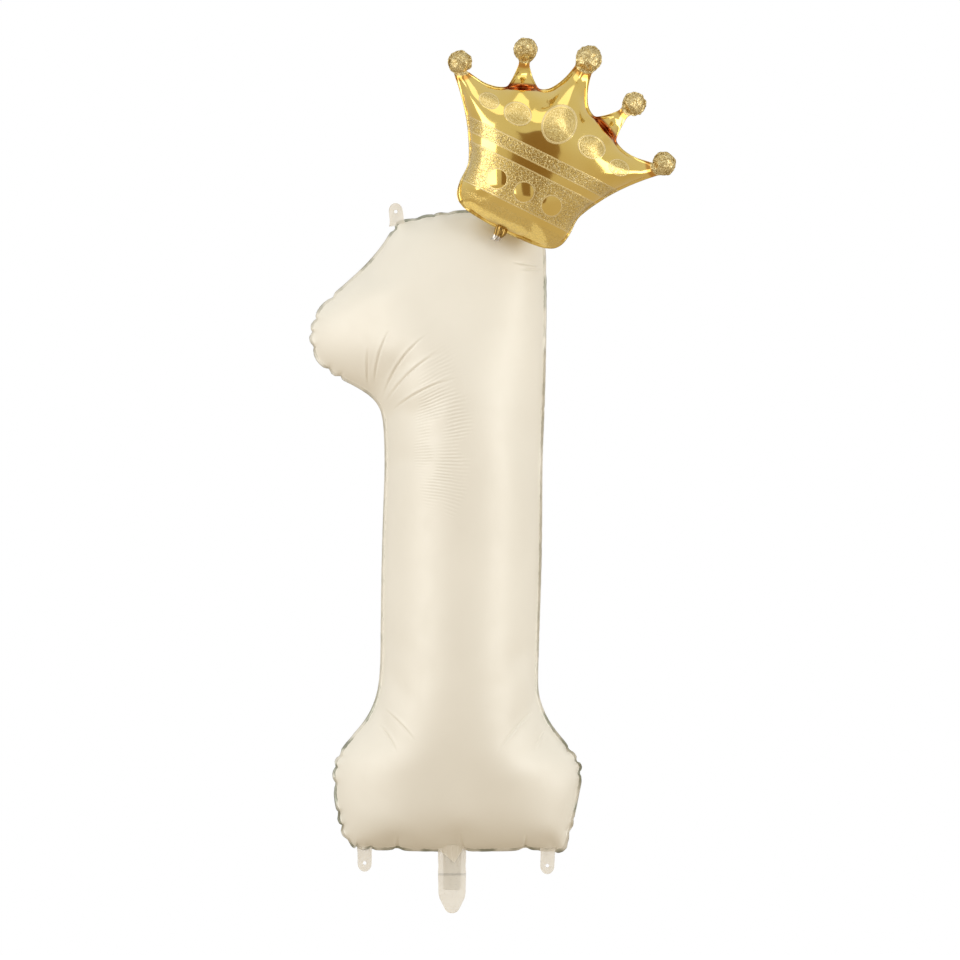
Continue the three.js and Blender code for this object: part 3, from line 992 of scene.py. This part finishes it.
def rim_film():
    """The welded rim, where the film's silver inside shows in patches."""
    n = Nodes("rim_film")
    at = n.place()
    on_stem = n.between(n.parts(at)[2], STEM_FOOT * MM, STEM_HEAD * MM, 60 * MM)
    patch = n.times(n.patchy(at, 34, 1, 0.44, 0.58), n.ramped(on_stem, 0, 1, 1.0, 0.35))
    n.set(
        Base_Color=n.mix(patch, (0.76, 0.73, 0.64, 1), (0.35, 0.36, 0.29, 1)),
        Metallic=n.ramped(patch, 0, 1, 0.1, 0.55),
        Roughness=n.patchy(at, 120, 3, 0.3, 0.7, 0.28, 0.42),
        Normal=n.bump(n.noise(at, 160, 2), 0.0004, 0.3),
    )
    return n.material


def shaded(colour, share):
    return tuple(c * share for c in colour[:3]) + (1,)


def clear_film(name, base, alpha):
    """Milky see-through film, darker along the weld across the tail."""
    n = Nodes(name)
    at = n.place()
    _, height = n.printed()
    tone = n.mix(n.patchy(at, 90, 3, 0.35, 0.65), base, shaded(base, 0.96))
    weld = n.between(height, (TAIL_WELD - 2.2) * MM, (TAIL_WELD + 0.6) * MM, 1.2 * MM)
    n.set(
        Base_Color=n.mix(n.times(weld, 0.7), tone, shaded(base, 0.62)),
        Roughness=n.patchy(at, 300, 3, 0.3, 0.7, 0.26, 0.40),
        Normal=n.bump(n.noise(at, 150, 2), 0.0003, 0.15),
    )
    n.set(Alpha=alpha, Metallic=0.05, Coat_Weight=0.3, Coat_Roughness=0.25)
    return n.material


def glue_gel():
    n = Nodes("glue_gel")
    at = n.place()
    n.set(
        Base_Color=n.mix(n.noise(at, 300, 2), (0.82, 0.83, 0.80, 1), (0.9, 0.9, 0.87, 1)),
        Roughness=n.patchy(at, 500, 2, 0.3, 0.7, 0.12, 0.3),
        Normal=n.bump(n.noise(at, 350, 2), 0.0004, 0.5),
    )
    n.set(Transmission_Weight=0.5, IOR=1.45)
    return n.material


# The crown's print, in mm on its flat film: rulings, ornament bands, round gems and oval medallions.
RULINGS = [28, 78.5, 90.4, 107.2]
RULING_WIDTH = 1.7
BANDS = [(29.5, 77.5), (91.4, 106.2)]
HEM_BAND = (-4, 19)
GEM_HEIGHT = 49
GEM_RADIUS = 13
GEMS = [-38, 2, 43]
MEDALLIONS = [
    ((4, 151), (23.5, 27.5)), ((-52, 139), (19.5, 15.5)), ((56, 143), (19.5, 15.5)),
    ((101, 135), (14.5, 11)), ((-94, 138), (14.5, 10.5)),
]
RING_SHARE = 0.12  # a medallion's outline, as a share of its half width


def ball_masks(n, side, v):
    """Where the balls' glitter is, down to the neck of each ball, and the ring of painted shade, darker and
    redder, round each ball's neck.
    """
    balls = []
    neck_shade = []
    for (x, z), radius in BALLS:
        away = n.length(n.math("SUBTRACT", side, x * MM), n.math("SUBTRACT", v, z * MM))
        balls.append(n.ramped(away, (radius + 2.0) * MM, (radius + 0.8) * MM))
        # a ring of painted shade round the neck of each ball
        neck_shade.append(n.between(away, (radius + 1.5) * MM, (radius + 8) * MM, 3 * MM))
    return n.most(balls), n.most(neck_shade)


def lace(n, at):
    """Curling lines from warped cells, with dots between them."""
    warp = n.add("ShaderNodeVectorMath", operation="MULTIPLY_ADD")
    n.put(n.noise(at, 120, output=1), warp.inputs[0])
    warp.inputs[1].default_value = (4 * MM, 4 * MM, 4 * MM)
    n.put(at, warp.inputs[2])
    curls = n.ramped(n.cells(warp.outputs[0], 210, "DISTANCE_TO_EDGE"), 0.10, 0.05)
    dots = n.ramped(n.cells(at, 420), 0.22, 0.12)
    return n.math("MAXIMUM", curls, dots)


def fold_shade_mask(n, side, v):
    """Where the folds across the feet of the two inner spikes are, which get painted shade."""
    start, end = (Vector(p) * MM for p in SPIKE_FOOT)
    way = (end - start).normalized()
    x = n.math("SUBTRACT", side, start.x)
    z = n.math("SUBTRACT", v, start.y)
    past = n.math("ADD", n.times(x, way.x), n.times(z, way.y))
    beside = n.math("ADD", n.times(x, -way.y), n.times(z, way.x))
    across = n.between(beside, -6 * MM, 3 * MM, 3 * MM)
    along = n.between(past, -2 * MM, (end - start).length + 2 * MM, 4 * MM)
    return n.times(across, along)


def ornament(n, at, u, v):
    """The crown's print: how much of each place is glittered, its thin lines, and the gems' domes."""
    rulings = n.most([
        n.between(v, (h - RULING_WIDTH / 2) * MM, (h + RULING_WIDTH / 2) * MM, 0.5 * MM) for h in RULINGS
    ])
    bands = n.most([n.between(v, low * MM, high * MM, 0.4 * MM) for low, high in BANDS])
    hem = n.between(v, HEM_BAND[0] * MM, HEM_BAND[1] * MM, 3 * MM)
    gems = [n.oval(u, v, (x, GEM_HEIGHT), (GEM_RADIUS, GEM_RADIUS)) for x in GEMS]
    gem_inside = n.most([n.ramped(d, 1.12, 1.06) for d in gems])
    gem_rings = n.most([n.between(d, 1.0, 1.12, 0.04) for d in gems])
    gem_domes = n.most([n.math("SUBTRACT", 1.0, n.times(d, d), clamp=True) for d in gems])
    ovals = [n.oval(u, v, centre, half) for centre, half in MEDALLIONS]
    filled_ovals = n.most([n.ramped(d, 0.9, 0.82) for d in ovals])
    oval_rings = n.most([n.between(d, 1 - RING_SHARE, 1.0, 0.04) for d in ovals])
    banded = n.math("MAXIMUM", bands, n.times(hem, 0.3))
    covered = n.times(banded, n.math("SUBTRACT", 1.0, gem_inside))
    laced = n.times(covered, n.ramped(lace(n, at), 0, 1, 0.35, 1.0))
    glittered = n.math("MAXIMUM", laced, n.times(filled_ovals, 0.6))
    return glittered, n.most([rulings, n.times(gem_rings, bands), oval_rings]), gem_domes


def gold_film():
    """Mirror gold film with a glitter print, with painted shade, darker and redder, in the folds and round
    the neck of each ball.
    """
    n = Nodes("gold_foil")
    u, v = n.printed()
    at = n.place()
    side = n.math("ABSOLUTE", u)
    balls, neck_shade = ball_masks(n, side, v)
    # where the spike folds get painted shade
    folds = fold_shade_mask(n, side, v)
    glittered, lines, gem_domes = ornament(n, at, u, v)
    glittered = n.math("MAXIMUM", glittered, balls)
    glitter = n.cells(at, 1100, output="Color")
    spark = n.ramped(glitter, 0.4, 0.8)

    mirror = n.mix(n.patchy(at, 14, 2, 0.35, 0.65), (0.90, 0.66, 0.19, 1), (0.95, 0.73, 0.25, 1))
    # painted shade: the mirror gold is darkened and reddened in a ring round the neck of each ball
    mirror = n.mix(n.times(neck_shade, 0.75), mirror, (0.62, 0.25, 0.04, 1))
    # painted shade: the mirror gold turns a deep dark red in the folds across the feet of the inner spikes
    mirror = n.mix(n.times(folds, 0.9), mirror, (0.36, 0.06, 0.01, 1))
    flakes = n.mix(spark, (0.38, 0.26, 0.09, 1), (0.98, 0.87, 0.52, 1))
    colour = n.mix(n.times(glittered, 0.85), mirror, flakes)
    colour = n.mix(n.times(lines, 0.8), colour, (0.80, 0.66, 0.36, 1))
    printed = n.math("MAXIMUM", glittered, lines)
    grain = n.times(glitter, n.ramped(printed, 0, 1, 0, 1))
    crinkle = n.bump(n.noise(at, 45, 2), 0.0012, 0.16)
    n.set(
        Base_Color=colour,
        Metallic=n.ramped(printed, 0, 1, 1.0, 0.72),
        Roughness=n.ramped(printed, 0, 1, 0.12, 0.36),
        Normal=n.bump(grain, 0.0005, 0.5, n.bump(gem_domes, 0.0025, 0.5, crinkle)),
    )
    return n.material


SILVER_START = -17.5  # the unprinted end of the neck starts here, in mm in the crown's own frame


def neck_film():
    """Gathered gold film, with the silver of the unprinted film at its end."""
    n = Nodes("neck_foil")
    at = n.place()
    _, height = n.printed()
    share = n.ramped(height, SILVER_START * MM, (SILVER_START - 2) * MM)
    tone = n.mix(n.noise(at, 260, 3), (0.50, 0.33, 0.10, 1), (0.30, 0.18, 0.05, 1))
    n.set(
        Base_Color=n.mix(share, tone, (0.72, 0.68, 0.62, 1)),
        Roughness=n.patchy(at, 400, 2, 0.3, 0.7, 0.14, 0.3),
        Normal=n.bump(n.noise(at, 300, 2), 0.0007, 0.5),
    )
    n.set(Metallic=1.0)
    return n.material


def painted(obj, *materials):
    """Gives an object its materials, one for each material index of its faces."""
    indices = [p.material_index for p in obj.data.polygons]
    obj.data.materials.clear()
    for material in materials:
        obj.data.materials.append(material)
    obj.data.polygons.foreach_set("material_index", indices)
    return obj


# ---- the pieces together ----

def build():
    cream = cream_film()
    gold = gold_film()
    film = clear_film("tab_film", (1.0, 0.96, 0.86, 1), 0.56)
    valve = clear_film("valve_film", (0.86, 0.86, 0.84, 1), 0.6)
    figure_foil = painted(figure(), cream, rim_film())
    crown_foil = painted(crown(), gold, gold)
    painted(figure_tail(), film, cream)
    for row in TABS:
        painted(tab(*row), film)
    painted(figure_valve(), valve)
    painted(crown_neck(), neck_film())
    painted(crown_valve(), valve)
    dot = bpy.data.objects["glue_dot"]
    painted(dot, glue_gel())


# ---- floor, light and camera ----
FLOOR_HEIGHT = -0.32
LOOK_AT = Vector((0.0375, 0, 0.4957))
LENS = 600  # mm
CAMERA_AWAY = 3.572 * LENS / 100  # the balloon fills the same share of the view with any lens
WHITE = (1, 1, 1, 1)
FLOOR_WIDTH = 12
WARM_BELOW = (0.82, 0.69, 0.52, 1)
PALE_ABOVE = (0.98, 0.95, 0.88, 1)
WORLD_STRENGTH = 0.68


def glowing(name, colour):
    n = Nodes(name)
    n.set(Base_Color=colour, Emission_Color=colour, Emission_Strength=1.0)
    return n.material


def rectangle(name, width, height):
    corners = [(x * width / 2, y * height / 2, 0) for x, y in ((-1, -1), (1, -1), (1, 1), (-1, 1))]
    return mesh_object(name, corners, [(0, 1, 2, 3)])


def panel(name, width, height, place, aim, material):
    """A flat card facing a point. It lights and is reflected, and the camera never sees it."""
    obj = painted(rectangle(name, width, height), material)
    obj.location = place
    obj.rotation_euler = (Vector(aim) - Vector(place)).to_track_quat("Z", "Y").to_euler()
    obj.visible_camera = False
    obj.visible_shadow = False
    obj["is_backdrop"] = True


def soft_light(name, place, aim, width, height, power):
    light = bpy.data.lights.new(name, "AREA")
    light.shape = "RECTANGLE"
    light.size, light.size_y, light.energy = width, height, power
    obj = bpy.data.objects.new(name, light)
    obj.location = place
    obj.rotation_euler = (Vector(aim) - Vector(place)).to_track_quat("-Z", "Y").to_euler()
    obj.visible_camera = False
    bpy.context.scene.collection.objects.link(obj)


def white_floor():
    floor = painted(rectangle("floor", FLOOR_WIDTH, FLOOR_WIDTH), glowing("floor_white", WHITE))
    floor.location.z = FLOOR_HEIGHT
    floor.visible_diffuse = floor.visible_glossy = False
    floor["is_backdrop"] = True


def studio_world():
    """White where the camera sees it. As light, pale above and warmer below, as over a pale floor."""
    world = bpy.data.worlds.new("studio")
    bpy.context.scene.world = world
    world.use_nodes = True
    tree = world.node_tree
    seen, lit = tree.nodes["Background"], tree.nodes.new("ShaderNodeBackground")
    seen.inputs[0].default_value = WHITE
    way = tree.nodes.new("ShaderNodeTexCoord")
    parts = tree.nodes.new("ShaderNodeSeparateXYZ")
    ramp = tree.nodes.new("ShaderNodeValToRGB")
    rise = tree.nodes.new("ShaderNodeMapRange")
    rise.inputs["From Min"].default_value = -1
    for element, position, colour in zip(ramp.color_ramp.elements, (0.25, 0.62), (WARM_BELOW, PALE_ABOVE)):
        element.position = position
        element.color = colour
    lit.inputs[1].default_value = WORLD_STRENGTH
    mix = tree.nodes.new("ShaderNodeMixShader")
    path = tree.nodes.new("ShaderNodeLightPath")
    for source, target in (
        (way.outputs["Generated"], parts.inputs[0]),
        (parts.outputs[2], rise.inputs[0]),
        (rise.outputs[0], ramp.inputs[0]),
        (ramp.outputs[0], lit.inputs[0]),
        (path.outputs["Is Camera Ray"], mix.inputs[0]),
        (lit.outputs[0], mix.inputs[1]),
        (seen.outputs[0], mix.inputs[2]),
        (mix.outputs[0], tree.nodes["World Output"].inputs[0]),
    ):
        tree.links.new(source, target)


def lamps():
    """A soft box on each side, a weak one above, a small one for the crown and a card for it to mirror."""
    middle = (0.03, 0, 0.5)
    soft_light("left_box", (-2.5, -1.5, 0.75), middle, 2.4, 2.2, 34)
    soft_light("right_box", (2.7, -1.3, 0.8), middle, 1.8, 2.2, 31)
    soft_light("top_box", (0, -0.8, 2.8), middle, 2.0, 1.4, 6)
    soft_light("spot_box", (0.88, -1.87, 2.44), (0.14, -0.12, 0.97), 0.6, 0.6, 3)
    dark = glowing("dark_card", (0.13, 0.08, 0.035, 1))
    panel("dark_card", 1.1, 1.8, (-0.25, -2.4, 0.72), (0.05, 0, 0.95), dark)


def long_camera():
    data = bpy.data.cameras.new("camera")
    data.lens = LENS
    camera = bpy.data.objects.new("camera", data)
    camera.location = LOOK_AT + Vector((0, -CAMERA_AWAY, 0))
    camera.rotation_euler = (math.pi / 2, 0, 0)
    bpy.context.scene.collection.objects.link(camera)
    bpy.context.scene.camera = camera


def studio():
    bpy.context.scene.view_settings.view_transform = "Standard"
    white_floor()
    studio_world()
    lamps()
    long_camera()


build()
studio()
bpy.context.view_layer.update()
boxes = {"cad": cad_box, "visual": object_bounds()}
{name: [list(corner) for corner in box] for name, box in boxes.items()}
